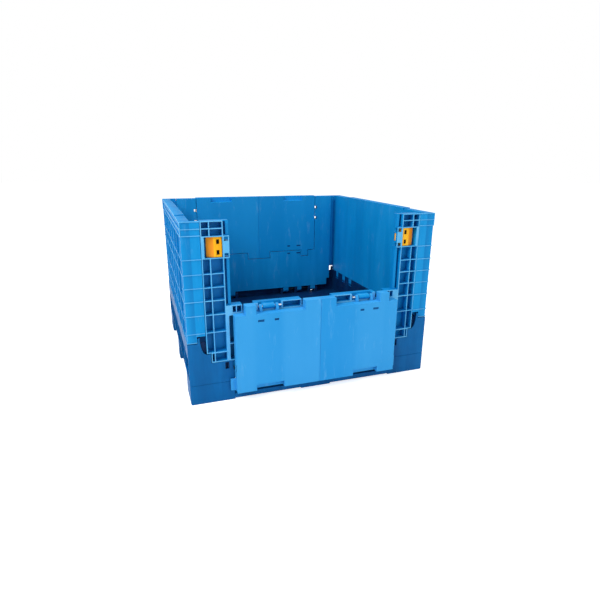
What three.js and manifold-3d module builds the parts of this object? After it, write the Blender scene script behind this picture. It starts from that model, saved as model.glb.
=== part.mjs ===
// Collapsible bulk container with two drop-down doors.
// A moulded pallet base stands on three skids. Two side walls with flanges that wrap the corners
// stand on tall side rims. The front and the rear wall are U-shaped frames that fold inwards onto
// the deck, and each frame carries a door that swings down outside, with a slide latch per jamb.
// Millimetres, +Z up. The origin is on the ground under the centre of the base, and -Y is the front.
//
// Inside this file a point is often given by three distances:
//   e  from the outer left or right face, inwards
//   v  from the outer front face, inwards
//   z  above the ground

import * as THREE from 'three';
import { mergeVertices } from 'three/addons/utils/BufferGeometryUtils.js';
import Module from 'manifold-3d';

const wasm = await Module();
wasm.setup();

// Overall size
const LENGTH = 1219;
const DEPTH = 1143;
const WALL_TOP = 836;
const RAIL_RISE = 4;

// Clearances
const SEAT_GAP = 0.3;
const BORE_GAP = 0.3;
const KNUCKLE_GAP = 1;
const SIDE_GAP = 1.5;
const FRAME_GAP = 2;
const DOOR_GAP = 3;

// How far a cutter or a joined piece runs past the face it meets
const OVERRUN = 1;

// Skids
const SKID_HEIGHT = 95;
const SKID_SKIN = 6;
const END_FOOT_LENGTH = 205;
const MID_FOOT_LENGTH = 155;
const END_SKID_DEPTH = 147;
const MID_SKID_DEPTH = 63;
const BAR_LIFT = 5;
const BAR_THICKNESS = 25;
const FOOT_CHAMFER = 12;
const GROUND_CHAMFER = 6;
const FOOT_CELL_COLUMNS = 2;

// Base
const PORT_ARCH = 15;
const DECK_THICKNESS = 40;
const DECK_SKIN = 6;
const RIM_SKIN = 5;
const FRONT_RIM_RISE = 48;
const SIDE_RIM_RISE = 148;
const UNDERSIDE_COLUMNS = 6;
const PORT_ROWS = 1;
const SIDE_RIM_BAYS = 6;
const SIDE_RIM_BAY_HEIGHT = 112;
const POST_STEP_LENGTH = 102;
const POST_STEP_RISE = 93;
const GUSSET_FOOT = 81;
const GUSSET_TIP = 10;
const GUSSET_BOW = [2, 8];
const GUSSET_SHOULDER = 6;
const ROD_WINDOW = [163, 182];
const ROD_WINDOW_LIFT = 10;
const TOOTH_WINDOW = [200, 215];
const TOOTH_WINDOW_LIFT = 2;
const WINDOW_LIP = 4;

// Walls
const WALL_THICKNESS = 44;
const WALL_SKIN = 5;
const RIB = 4;
const SIDE_WALL_LIFT = 4;
const FLANGE_LENGTH = 82;
const FLANGE_THICKNESS = 18;
const FLANGE_STEP = 29;
const FLANGE_RECESS = 3;
const LIP_DROP = 60;
const LIP_RECESS = 6;
const RIB_DROPS = [32, 60, 160, 225, 285, 345, 409, 491];
const SIDE_WALL_BAYS = 7;
const SIDE_RIB_DROPS = [160, 225, 345, 440];
const RAIL_INSET = 225;
const RAIL_NOTCH_LENGTH = 10;
const RAIL_NOTCH_DEPTH = 8;

// Wall hinges
const ROD_RADIUS = 6;
const TOOTH_RADIUS = 18;
const STANDING_LUG_RADIUS = 17.5;
const HINGE_INSET = 24;
const FRONT_AXIS_RISE = 30;
const SIDE_AXIS_DROP = 28;
const LUG_LENGTH = 16.5;
const FRONT_TEETH = [[193, 229], [298, 330], [397, 435]];
const SIDE_TEETH = [[83, 115], [188, 230], [293, 333]];
const ROD_END_MARGIN = 5;

// Wall frames
const JAMB_START = 84;
const JAMB_RIB = 120;
const STRAP_RIB = 176;
const STOP_BAR = 190;
const JAMB_END = 203;
const STOP_SETBACK = 14;
const GROOVE_DEPTH = 36;
const SILL_TOP = 420;
const BLOCK_RISE = 43;
const END_BLOCK = [203, 250];
const END_BLOCK_RIB = 224;
const HINGE_BLOCK = [305, 530];
const BLOCK_RECESS = [440, 526];
const SILL_RIBS = [188, 295, 400, 505];
const SILL_RIB_DROP = 137;
const TONGUE_STRIP_LENGTH = 18;
const TONGUE_STRIP_DEPTH = 18;
const TONGUE_STRIP_ENDS = 16;

// Door and its hinges
const DOOR_AXIS_OFFSET = 3;
const DOOR_AXIS_RISE = 26;
const PIN_RADIUS = 5;
const PIN_END_GAP = 1;
const HINGE_POCKET = [322, 431];
const POCKET_DEPTH = 20;
const POCKET_FLOOR_DROP = 16;
const LUG_RADIUS = 10;
const DOOR_LUG = [342, 398];
const ARM_RADIUS = 11;
const DOOR_ARMS = [[325, 338], [402, 415]];
const ARM_NECK = 14;
const DOOR_BAYS = 6;
const DOOR_RIB_DROPS = [34, 147, 260];
const TAB_REACH = 23;
const TAB_THICKNESS = 12;
const TAB_HEIGHT = 56;
const GRIP_RECESS = [298, 431];
const GRIP_DEPTH = 28;
const GRIP_HEIGHT = 30;
const DASH_SLOTS = [[309, 338], [386, 406]];
const DASH_HEIGHT = 10;
const DASH_DEPTH = 3.5;
const DASH_LIFT = 52;
const SEAM_WIDTH = 3;
const SEAM_DEPTH = 1.5;

// Door latches
const LATCH_START = 107;
const LATCH_LENGTH = 65;
const LATCH_DROP = 68;
const LATCH_HEIGHT = 87;
const LATCH_FRONT = 6;
const LATCH_BACK = 34;
const LATCH_SLOPE = 30;
const LATCH_TRAVEL = 14;
const LATCH_SPARE = 10;
const TONGUE_LENGTH = 27;
const TONGUE_HEIGHT = 36;
const TONGUE_THICKNESS = 18;
const TONGUE_SETBACK = 1;
const TONGUE_PLAY = 1;
const FINGER_SLOT = [13, 20];
const FINGER_SLOT_PITCH = 46;
const FINGER_SLOT_INSET = 17;
const FINGER_SLOT_DEPTH = 20;
const GRIP_SLOPE_DEPTH = 16;
const STRAP_DEPTH = 5;
const STRIKE_SPARE = 6;
const GUIDE_HEIGHT = 52;
const GUIDE_SLOT = [181, 199];
const SIGHT_SLOT_START = 188;

// Heights and places that follow from the sizes above
const HALF_LENGTH = LENGTH / 2;
const HALF_DEPTH = DEPTH / 2;
const PORT_TOP = SKID_HEIGHT + PORT_ARCH;
const FOOT_SPANS = {
  left: [-HALF_LENGTH, -HALF_LENGTH + END_FOOT_LENGTH],
  centre: [-MID_FOOT_LENGTH / 2, MID_FOOT_LENGTH / 2],
  right: [HALF_LENGTH - END_FOOT_LENGTH, HALF_LENGTH],
};
const SKID_ROWS = {
  front: [-HALF_DEPTH, -HALF_DEPTH + END_SKID_DEPTH],
  middle: [-MID_SKID_DEPTH / 2, MID_SKID_DEPTH / 2],
  rear: [HALF_DEPTH - END_SKID_DEPTH, HALF_DEPTH],
};
const FOOT_CELL_ROWS = { front: 2, middle: 1, rear: 2 };
const DECK_TOP = PORT_TOP + DECK_THICKNESS;
const FRONT_RIM_TOP = DECK_TOP + FRONT_RIM_RISE;
const SIDE_RIM_TOP = DECK_TOP + SIDE_RIM_RISE;
const FRAME_BOTTOM = FRONT_RIM_TOP + FRAME_GAP;
const SIDE_WALL_BOTTOM = SIDE_RIM_TOP + SIDE_WALL_LIFT;
const POST_STEP_TOP = DECK_TOP + POST_STEP_RISE;
const FRONT_AXIS_Z = DECK_TOP + FRONT_AXIS_RISE;
const SIDE_AXIS_Z = SIDE_RIM_TOP - SIDE_AXIS_DROP;
const BLOCK_TOP = SILL_TOP + BLOCK_RISE;
const DOOR_AXIS_Z = SILL_TOP + DOOR_AXIS_RISE;
const DOOR_START = JAMB_END + DOOR_GAP;
const DOOR_BOTTOM = SILL_TOP + FRAME_GAP * 2;
const DOOR_NOTCH_TOP = BLOCK_TOP + DOOR_GAP;
const DOOR_TOP = WALL_TOP + RAIL_RISE;
const LATCH_TOP = WALL_TOP - LATCH_DROP;
const LATCH_BOTTOM = LATCH_TOP - LATCH_HEIGHT;
const LATCH_MIDDLE = (LATCH_TOP + LATCH_BOTTOM) / 2;
const LATCH_END = LATCH_START + LATCH_LENGTH;
const LATCH_SEAT = [LATCH_BOTTOM - TONGUE_PLAY, LATCH_TOP + TONGUE_PLAY];
const TONGUE_FRONT = LATCH_BACK - TONGUE_SETBACK - TONGUE_THICKNESS;
const STRIKE_DEPTH = LATCH_END + TONGUE_LENGTH + LATCH_TRAVEL - DOOR_START + STRIKE_SPARE;
const ROUND_FACETS = 12;

// Colours
const paint = (color, roughness, metalness = 0) =>
  new THREE.MeshStandardMaterial({ color, roughness, metalness });
const BASE_PLASTIC = paint(0x0a63ad, 0.5);
const WALL_PLASTIC = paint(0x2196dc, 0.45);
const DOOR_PLASTIC = paint(0x2f9fe4, 0.45);
const LATCH_PLASTIC = paint(0xf2a91c, 0.4);
const STEEL = paint(0xb9bdc2, 0.35, 0.9);

/** Turns a closed three.js geometry into a solid that can be joined and cut. */
function toSolid(geometry) {
  geometry.deleteAttribute('normal');
  geometry.deleteAttribute('uv');
  const merged = mergeVertices(geometry, 1e-4);
  return new wasm.Manifold(new wasm.Mesh({
    numProp: 3,
    vertProperties: new Float32Array(merged.attributes.position.array),
    triVerts: new Uint32Array(merged.index.array),
  }));
}

/** Turns a solid into a named mesh. */
function toMesh(name, solid, material) {
  const { vertProperties, triVerts } = solid.getMesh();
  const geometry = new THREE.BufferGeometry();
  geometry.setAttribute('position', new THREE.BufferAttribute(vertProperties, 3));
  geometry.setIndex(new THREE.BufferAttribute(triVerts, 1));
  geometry.computeVertexNormals();
  const mesh = new THREE.Mesh(geometry, material);
  mesh.name = name;
  return mesh;
}

const join = (solids) => solids.reduce((whole, solid) => whole.add(solid));
const cut = (solid, tools) => tools.reduce((rest, tool) => rest.subtract(tool), solid);

/** A block between two corners, given in any order, in model coordinates. */
function block(x0, x1, y0, y1, z0, z1) {
  const geometry = new THREE.BoxGeometry(Math.abs(x1 - x0), Math.abs(y1 - y0), Math.abs(z1 - z0));
  geometry.translate((x0 + x1) / 2, (y0 + y1) / 2, (z0 + z1) / 2);
  return toSolid(geometry);
}

const LEFT = -1;
const RIGHT = 1;
const SIDES = [LEFT, RIGHT];
const xAt = (side, e) => side * (HALF_LENGTH - e);
const yAt = (v) => v - HALF_DEPTH;

/** A block given by its distances from one end face and from the front face. */
const endBlock = (side, [e0, e1], [v0, v1], [z0, z1]) =>
  block(xAt(side, e0), xAt(side, e1), yAt(v0), yAt(v1), z0, z1);

/** A block as above at both ends. */
const bothEnds = (e, v, z) => SIDES.map((side) => endBlock(side, e, v, z));

const extrusion = (shape, depth) => new THREE.ExtrudeGeometry(shape, {
  depth, bevelEnabled: false, curveSegments: ROUND_FACETS / 2,
});

/** Extrudes a (y, z) outline along X. */
function extrudeX(shape, x0, x1) {
  const geometry = extrusion(shape, Math.abs(x1 - x0));
  geometry.applyMatrix4(new THREE.Matrix4().set(
    0, 0, 1, Math.min(x0, x1),
    1, 0, 0, 0,
    0, 1, 0, 0,
    0, 0, 0, 1,
  ));
  return toSolid(geometry);
}

/** Extrudes an (x, z) outline along Y. */
function extrudeY(shape, y0, y1) {
  const geometry = extrusion(shape, y1 - y0);
  geometry.rotateX(Math.PI / 2);
  geometry.translate(0, y1, 0);
  return toSolid(geometry);
}

/** A round bar along X. */
function barX(x0, x1, y, z, radius) {
  const geometry = new THREE.CylinderGeometry(radius, radius, Math.abs(x1 - x0), ROUND_FACETS);
  geometry.rotateZ(Math.PI / 2);
  geometry.translate((x0 + x1) / 2, y, z);
  return toSolid(geometry);
}

/** A round bar along Y. */
function barY(y0, y1, x, z, radius) {
  const geometry = new THREE.CylinderGeometry(radius, radius, y1 - y0, ROUND_FACETS);
  geometry.translate(x, (y0 + y1) / 2, z);
  return toSolid(geometry);
}

/** The open bays between neighbouring rib centre lines. */
const bays = (lines, rib = RIB) =>
  lines.slice(1).map((line, i) => [lines[i] + rib / 2, line - rib / 2]);

/** Evenly spaced rib centre lines from one face to the other. */
const evenLines = (from, to, count) =>
  Array.from({ length: count + 1 }, (_, i) => from + ((to - from) * i) / count);

/** Rib centre lines between two heights, with the outer ribs whole inside them. */
function ribLevels(bottom, top, drops) {
  const inside = drops
    .map((drop) => WALL_TOP - drop)
    .filter((z) => z > bottom + RIB * 3 && z < top - RIB * 3);
  return [bottom + RIB / 2, ...inside.reverse(), top - RIB / 2];
}

/** A knuckle that hangs from a wall: a round end about the axis and a neck up to the wall. */
function hangingKnuckle(across, axisZ, radius, top) {
  const shape = new THREE.Shape();
  shape.moveTo(across - radius, top);
  shape.lineTo(across - radius, axisZ);
  shape.absarc(across, axisZ, radius, Math.PI, 2 * Math.PI, false);
  shape.lineTo(across + radius, top);
  shape.closePath();
  return shape;
}

/** A lug that stands on the base: a neck up from the deck and a round end about the axis. */
function standingLug(across, axisZ, radius, bottom) {
  const shape = new THREE.Shape();
  shape.moveTo(across + radius, bottom);
  shape.lineTo(across + radius, axisZ);
  shape.absarc(across, axisZ, radius, 0, Math.PI, false);
  shape.lineTo(across - radius, bottom);
  shape.closePath();
  return shape;
}

/** An outline that is the same at both ends, from its (e, z) points up one end. */
function symmetricOutline(points) {
  const left = points.map(([e, z]) => new THREE.Vector2(xAt(LEFT, e), z));
  const right = points.map(([e, z]) => new THREE.Vector2(xAt(RIGHT, e), z)).reverse();
  return new THREE.Shape([...left, ...right]);
}

/**
 * One hollow foot of a skid, with cells open at the top. Lead-in chamfers lie at the ends that
 * face a fork port, and the outer end of an end foot has a small chamfer at the ground.
 */
function foot([x0, x1], [y0, y1], cellRows) {
  const leftChamfer = x0 > -HALF_LENGTH ? FOOT_CHAMFER : 0;
  const rightChamfer = x1 < HALF_LENGTH ? FOOT_CHAMFER : 0;
  const left = leftChamfer
    ? [[x0 + leftChamfer, SKID_HEIGHT], [x0, SKID_HEIGHT - leftChamfer], [x0, 0]]
    : [[x0, SKID_HEIGHT], [x0, GROUND_CHAMFER], [x0 + GROUND_CHAMFER, 0]];
  const right = rightChamfer
    ? [[x1, 0], [x1, SKID_HEIGHT - rightChamfer], [x1 - rightChamfer, SKID_HEIGHT]]
    : [[x1 - GROUND_CHAMFER, 0], [x1, GROUND_CHAMFER], [x1, SKID_HEIGHT]];
  const outline = new THREE.Shape([...left, ...right].map(([x, z]) => new THREE.Vector2(x, z)));
  const edge = SKID_SKIN / 2;
  const columns = bays(
    evenLines(x0 + leftChamfer + edge, x1 - rightChamfer - edge, FOOT_CELL_COLUMNS), SKID_SKIN,
  );
  const rows = bays(evenLines(y0 + edge, y1 - edge, cellRows), SKID_SKIN);
  const pockets = columns.flatMap((x) =>
    rows.map((y) => block(...x, ...y, SKID_SKIN, SKID_HEIGHT + OVERRUN)));
  return cut(extrudeY(outline, y0, y1), pockets);
}

/** One skid: three feet and the two low bars between them that the forks pass over. */
function skid(row) {
  const y = SKID_ROWS[row];
  const group = new THREE.Group();
  Object.entries(FOOT_SPANS).forEach(([place, x]) => {
    group.add(toMesh(`skid_${row}_foot_${place}`, foot(x, y, FOOT_CELL_ROWS[row]), BASE_PLASTIC));
  });
  const bars = {
    left: [FOOT_SPANS.left[1], FOOT_SPANS.centre[0]],
    right: [FOOT_SPANS.centre[1], FOOT_SPANS.right[0]],
  };
  Object.entries(bars).forEach(([place, [x0, x1]]) => {
    const bar = block(x0 + SEAT_GAP, x1 - SEAT_GAP, ...y, BAR_LIFT, BAR_LIFT + BAR_THICKNESS);
    group.add(toMesh(`skid_${row}_bar_${place}`, bar, BASE_PLASTIC));
  });
  return group;
}

/** The corner post's front plate: a step beside the frame and a curved gusset under the flange. */
function gussetPlate(side) {
  const x = (e) => xAt(side, e);
  const tipTop = SIDE_WALL_BOTTOM + FLANGE_STEP - FRAME_GAP - FRAME_GAP;
  const inner = WALL_THICKNESS + SIDE_GAP;
  const shape = new THREE.Shape();
  shape.moveTo(x(WALL_THICKNESS - RIM_SKIN), PORT_TOP);
  shape.lineTo(x(POST_STEP_LENGTH), PORT_TOP);
  shape.lineTo(x(POST_STEP_LENGTH), POST_STEP_TOP);
  shape.lineTo(x(GUSSET_FOOT), POST_STEP_TOP);
  shape.quadraticCurveTo(
    x(inner + GUSSET_TIP + GUSSET_BOW[0]), POST_STEP_TOP + GUSSET_BOW[1],
    x(inner + GUSSET_TIP), tipTop,
  );
  shape.lineTo(x(inner), tipTop - GUSSET_SHOULDER);
  shape.lineTo(x(inner), SIDE_RIM_TOP);
  shape.lineTo(x(WALL_THICKNESS - RIM_SKIN), SIDE_RIM_TOP);
  shape.closePath();
  return extrudeY(shape, yAt(0), yAt(FLANGE_THICKNESS));
}

/** The lugs that carry a front hinge rod, one before the first tooth and one after each. */
function hingeLugs(side) {
  const lug = standingLug(
    yAt(HINGE_INSET), FRONT_AXIS_Z, STANDING_LUG_RADIUS, DECK_TOP - OVERRUN,
  );
  const starts = [
    FRONT_TEETH[0][0] - SIDE_GAP - LUG_LENGTH,
    ...FRONT_TEETH.map(([, e1]) => e1 + SIDE_GAP),
  ];
  return starts.map((e) => extrudeX(lug, xAt(side, e), xAt(side, e + LUG_LENGTH)));
}

const frontRodSpan = (side, margin) => [
  xAt(side, FRONT_TEETH[0][0] - SIDE_GAP - LUG_LENGTH - margin),
  xAt(side, FRONT_TEETH.at(-1)[1] + SIDE_GAP + LUG_LENGTH + margin),
];
const sideRodSpan = (margin) => [
  yAt(SIDE_TEETH[0][0] - LUG_LENGTH - margin),
  yAt(SIDE_TEETH.at(-1)[1] + LUG_LENGTH + margin),
];

const frontRod = (side, radius, margin) =>
  barX(...frontRodSpan(side, margin), yAt(HINGE_INSET), FRONT_AXIS_Z, radius);
const sideRod = (radius, margin) =>
  barY(...sideRodSpan(margin), xAt(LEFT, HINGE_INSET), SIDE_AXIS_Z, radius);

/** The pockets for a side wall's front teeth in the left rim, and the bore for their rod. */
function sideHingeCuts() {
  const pocketFloor = SIDE_AXIS_Z - TOOTH_RADIUS - KNUCKLE_GAP;
  const pockets = SIDE_TEETH.map(([v0, v1]) => endBlock(
    LEFT,
    [HINGE_INSET - TOOTH_RADIUS - KNUCKLE_GAP, WALL_THICKNESS + OVERRUN],
    [v0 - SIDE_GAP, v1 + SIDE_GAP],
    [pocketFloor, SIDE_RIM_TOP + OVERRUN],
  ));
  return [...pockets, sideRod(ROD_RADIUS + BORE_GAP, ROD_END_MARGIN)];
}

const turned = (solid) => solid.rotate([0, 0, 180]);
const mirroredInDepth = (solid) => solid.mirror([0, 1, 0]);

/** The base: a ribbed deck with low front and rear rims, tall side rims and four corner posts. */
function base() {
  const lands = Object.values(FOOT_SPANS).flatMap((x) =>
    Object.values(SKID_ROWS).map((y) =>
      block(...x, ...y, SKID_HEIGHT + SEAT_GAP, PORT_TOP + OVERRUN)));
  const outer = block(-HALF_LENGTH, HALF_LENGTH, -HALF_DEPTH, HALF_DEPTH, PORT_TOP, FRONT_RIM_TOP);
  const tray = block(
    -HALF_LENGTH + WALL_THICKNESS, HALF_LENGTH - WALL_THICKNESS,
    -HALF_DEPTH + RIM_SKIN, HALF_DEPTH - RIM_SKIN,
    DECK_TOP, FRONT_RIM_TOP + OVERRUN,
  );
  const sideRims = bothEnds([0, WALL_THICKNESS], [0, DEPTH], [FRONT_RIM_TOP - OVERRUN, SIDE_RIM_TOP]);
  const webs = bothEnds(
    [WALL_THICKNESS - RIM_SKIN, JAMB_START - FRAME_GAP],
    [FLANGE_THICKNESS - OVERRUN, FLANGE_THICKNESS + RIM_SKIN],
    [POST_STEP_TOP - OVERRUN, SIDE_RIM_TOP],
  );
  const frontFeatures = [
    ...SIDES.flatMap((side) => [gussetPlate(side), ...hingeLugs(side)]),
    ...webs,
  ];
  const body = join([
    cut(outer, [tray]),
    ...lands,
    ...sideRims,
    ...frontFeatures,
    ...frontFeatures.map(mirroredInDepth),
  ]);

  const underRibs = evenLines(
    -HALF_LENGTH + WALL_THICKNESS, HALF_LENGTH - WALL_THICKNESS, UNDERSIDE_COLUMNS,
  );
  const portStart = MID_SKID_DEPTH / 2 + SKID_SKIN;
  const portEnd = HALF_DEPTH - END_SKID_DEPTH - SKID_SKIN;
  const portRows = bays(evenLines(portStart, portEnd, PORT_ROWS), SKID_SKIN);
  const frontUnderside = bays(underRibs, SKID_SKIN).flatMap(([x0, x1]) =>
    portRows.map(([y0, y1]) =>
      block(x0, x1, -y1, -y0, SKID_HEIGHT - OVERRUN, DECK_TOP - DECK_SKIN)));

  const bayHeights = [PORT_TOP + RIB, PORT_TOP + RIB + SIDE_RIM_BAY_HEIGHT];
  const leftBays = bays(evenLines(RIM_SKIN, DEPTH - RIM_SKIN, SIDE_RIM_BAYS), SKID_SKIN).map((v) =>
    endBlock(LEFT, [-OVERRUN, WALL_THICKNESS - SKID_SKIN], v, bayHeights));

  const throughRim = [-OVERRUN, RIM_SKIN + OVERRUN];
  const windowTop = FRONT_RIM_TOP - WINDOW_LIP;
  const sideHinge = sideHingeCuts();
  const half = [
    ...frontUnderside,
    ...leftBays,
    ...sideHinge,
    ...sideHinge.map(mirroredInDepth),
    ...SIDES.map((side) => frontRod(side, ROD_RADIUS + BORE_GAP, ROD_END_MARGIN)),
    ...bothEnds(ROD_WINDOW, throughRim, [DECK_TOP + ROD_WINDOW_LIFT, windowTop]),
    ...bothEnds(TOOTH_WINDOW, throughRim, [DECK_TOP + TOOTH_WINDOW_LIFT, windowTop]),
  ];
  return cut(body, [...half, ...half.map(turned)]);
}

/** The left side wall: a cell-ribbed slab with a flange round each corner and teeth below. */
function sideWall() {
  const bottom = SIDE_WALL_BOTTOM;
  const outline = new THREE.Shape();
  outline.moveTo(yAt(0), bottom);
  outline.lineTo(yAt(0), WALL_TOP);
  outline.lineTo(yAt(RAIL_INSET - RAIL_NOTCH_LENGTH), WALL_TOP);
  outline.lineTo(yAt(RAIL_INSET - RAIL_NOTCH_LENGTH), WALL_TOP - RAIL_NOTCH_DEPTH);
  outline.lineTo(yAt(RAIL_INSET), WALL_TOP - RAIL_NOTCH_DEPTH);
  outline.lineTo(yAt(RAIL_INSET), WALL_TOP + RAIL_RISE);
  outline.lineTo(yAt(DEPTH - RAIL_INSET), WALL_TOP + RAIL_RISE);
  outline.lineTo(yAt(DEPTH - RAIL_INSET), WALL_TOP - RAIL_NOTCH_DEPTH);
  outline.lineTo(yAt(DEPTH - RAIL_INSET + RAIL_NOTCH_LENGTH), WALL_TOP - RAIL_NOTCH_DEPTH);
  outline.lineTo(yAt(DEPTH - RAIL_INSET + RAIL_NOTCH_LENGTH), WALL_TOP);
  outline.lineTo(yAt(DEPTH), WALL_TOP);
  outline.lineTo(yAt(DEPTH), bottom);
  outline.closePath();
  const slab = extrudeX(outline, xAt(LEFT, 0), xAt(LEFT, WALL_THICKNESS));

  const flange = endBlock(
    LEFT, [WALL_THICKNESS - OVERRUN, FLANGE_LENGTH], [0, FLANGE_THICKNESS], [bottom + FLANGE_STEP, WALL_TOP],
  );
  const tooth = hangingKnuckle(xAt(LEFT, HINGE_INSET), SIDE_AXIS_Z, TOOTH_RADIUS, bottom + OVERRUN);
  const teeth = SIDE_TEETH.map(([v0, v1]) => extrudeY(tooth, yAt(v0), yAt(v1)));
  const ends = [flange, ...teeth];
  const body = join([slab, ...ends, ...ends.map(mirroredInDepth)]);

  const columns = bays(evenLines(WALL_THICKNESS, DEPTH - WALL_THICKNESS, SIDE_WALL_BAYS));
  const cellRows = bays(ribLevels(bottom, WALL_TOP - LIP_DROP + RIB / 2, SIDE_RIB_DROPS));
  const cells = columns.flatMap((v) => cellRows.map((z) =>
    endBlock(LEFT, [-OVERRUN, WALL_THICKNESS - WALL_SKIN], v, z)));

  const panelRows = bays(ribLevels(bottom, WALL_TOP, RIB_DROPS));
  const aboveLip = ([z0]) => z0 > WALL_TOP - LIP_DROP;
  const channels = panelRows.filter(aboveLip).map((z) =>
    endBlock(LEFT, [-OVERRUN, LIP_RECESS], [RIB, DEPTH - RIB], z));
  const cornerPanels = panelRows.filter((z) => !aboveLip(z)).map((z) =>
    endBlock(LEFT, [-OVERRUN, FLANGE_RECESS], [-OVERRUN, WALL_THICKNESS - RIB / 2], z));
  const flangePanels = panelRows.map((z) =>
    endBlock(LEFT, [aboveLip(z) ? RIB : -OVERRUN, FLANGE_LENGTH + OVERRUN], [-OVERRUN, FLANGE_RECESS], z));
  const frontHalf = [...cornerPanels, ...flangePanels, sideRod(ROD_RADIUS + BORE_GAP, 0)];
  return cut(body, [...cells, ...channels, ...frontHalf, ...frontHalf.map(mirroredInDepth)]);
}

/** The ribbed pockets, door stop, latch seat and tongue guide of one jamb. */
function jambCuts(side) {
  const full = [-OVERRUN, WALL_THICKNESS - WALL_SKIN];
  const stop = [-OVERRUN, STOP_SETBACK];
  const seatDepth = LATCH_BACK + SEAT_GAP;
  const [seatBottom, seatTop] = LATCH_SEAT;
  const columns = bays([JAMB_START + RIB / 2, JAMB_RIB, STRAP_RIB]);
  const rows = [
    ...bays(ribLevels(POST_STEP_TOP + DOOR_GAP, seatBottom, RIB_DROPS)),
    ...bays(ribLevels(seatTop, WALL_TOP, RIB_DROPS)),
  ];
  const cells = columns.flatMap((e) => rows.map((z) => endBlock(side, e, full, z)));

  const besideGuide = [
    [BLOCK_TOP, seatBottom - RIB],
    [seatTop + RIB, WALL_TOP + OVERRUN],
  ].flatMap(([z0, z1]) => [
    endBlock(side, [STRAP_RIB + RIB / 2, JAMB_END + OVERRUN], stop, [z0, z1]),
    endBlock(
      side, [STRAP_RIB + RIB / 2, STOP_BAR], [-OVERRUN, GROOVE_DEPTH],
      [z0 + RIB, Math.min(z1, WALL_TOP - RIB)],
    ),
  ]);
  const seat = [
    endBlock(
      side, [LATCH_START - LATCH_SPARE, STRAP_RIB - RIB / 2], [-OVERRUN, seatDepth], LATCH_SEAT,
    ),
    endBlock(side, [STRAP_RIB - RIB, STOP_BAR], [STRAP_DEPTH, seatDepth], LATCH_SEAT),
  ];
  const tongueHalf = TONGUE_HEIGHT / 2 + TONGUE_PLAY;
  const tongueWindow = endBlock(
    side, [STRAP_RIB, JAMB_END + OVERRUN], [TONGUE_FRONT - TONGUE_PLAY, LATCH_BACK],
    [LATCH_MIDDLE - tongueHalf, LATCH_MIDDLE + tongueHalf],
  );
  const slots = [
    [seatBottom, LATCH_MIDDLE - GUIDE_HEIGHT / 2],
    [LATCH_MIDDLE + GUIDE_HEIGHT / 2, seatTop],
  ].flatMap((z) => [
    endBlock(side, GUIDE_SLOT, [-OVERRUN, STRAP_DEPTH + OVERRUN], z),
    endBlock(
      side, [SIGHT_SLOT_START, JAMB_END + OVERRUN], [STRAP_DEPTH, WALL_THICKNESS + OVERRUN], z,
    ),
  ]);
  return [...cells, ...besideGuide, ...seat, tongueWindow, ...slots];
}

/** The cells of the sill and of the blocks on it. */
function sillCuts() {
  const full = [-OVERRUN, WALL_THICKNESS - WALL_SKIN];
  const levels = [FRAME_BOTTOM + RIB / 2, SILL_TOP - SILL_RIB_DROP, SILL_TOP - RIB / 2];
  const lines = [...SILL_RIBS, HALF_LENGTH];
  const cells = SIDES.flatMap((side) =>
    bays(lines).flatMap((e) => bays(levels).map((z) => endBlock(side, e, full, z))));
  const capCell = [DOOR_AXIS_Z - POCKET_FLOOR_DROP, BLOCK_TOP - RIB];
  const footHeights = [FRAME_BOTTOM + RIB, POST_STEP_TOP + DOOR_GAP - RIB / 2];
  const foot = bays([POST_STEP_LENGTH + FRAME_GAP + RIB / 2, JAMB_RIB, STRAP_RIB]).flatMap((e) =>
    bothEnds(e, full, footHeights));
  return [
    ...cells,
    ...foot,
    ...bays([END_BLOCK[0] + RIB / 2, END_BLOCK_RIB, END_BLOCK[1] - RIB / 2]).flatMap((e) =>
      bothEnds(e, full, capCell)),
    ...bothEnds(BLOCK_RECESS, full, capCell),
  ];
}

/** The dash-shaped slots beside the door hinges, on the inner face at one height. */
const dashSlots = (z) => DASH_SLOTS.flatMap((e) => bothEnds(
  e, [WALL_THICKNESS - DASH_DEPTH, WALL_THICKNESS + OVERRUN],
  [z - DASH_HEIGHT / 2, z + DASH_HEIGHT / 2],
));

/** One door hinge on the sill: an open pocket with a knuckle for the pin in its middle. */
function doorHinge(side) {
  const floor = DOOR_AXIS_Z - POCKET_FLOOR_DROP;
  const pocket = endBlock(side, HINGE_POCKET, [-OVERRUN, POCKET_DEPTH], [floor, BLOCK_TOP + OVERRUN]);
  const shape = new THREE.Shape();
  const axisY = yAt(-DOOR_AXIS_OFFSET);
  const rearY = yAt(POCKET_DEPTH + OVERRUN);
  shape.moveTo(rearY, DOOR_AXIS_Z + LUG_RADIUS);
  shape.lineTo(axisY, DOOR_AXIS_Z + LUG_RADIUS);
  shape.absarc(axisY, DOOR_AXIS_Z, LUG_RADIUS, Math.PI / 2, Math.PI * 1.5, false);
  shape.lineTo(yAt(0) + FRAME_GAP, floor - OVERRUN);
  shape.lineTo(rearY, floor - OVERRUN);
  shape.closePath();
  return { pocket, lug: extrudeX(shape, xAt(side, DOOR_LUG[0]), xAt(side, DOOR_LUG[1])) };
}

const doorPin = (side, radius, margin) => barX(
  xAt(side, HINGE_POCKET[0] + PIN_END_GAP - margin),
  xAt(side, HINGE_POCKET[1] - PIN_END_GAP + margin),
  yAt(-DOOR_AXIS_OFFSET), DOOR_AXIS_Z, radius,
);

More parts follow.
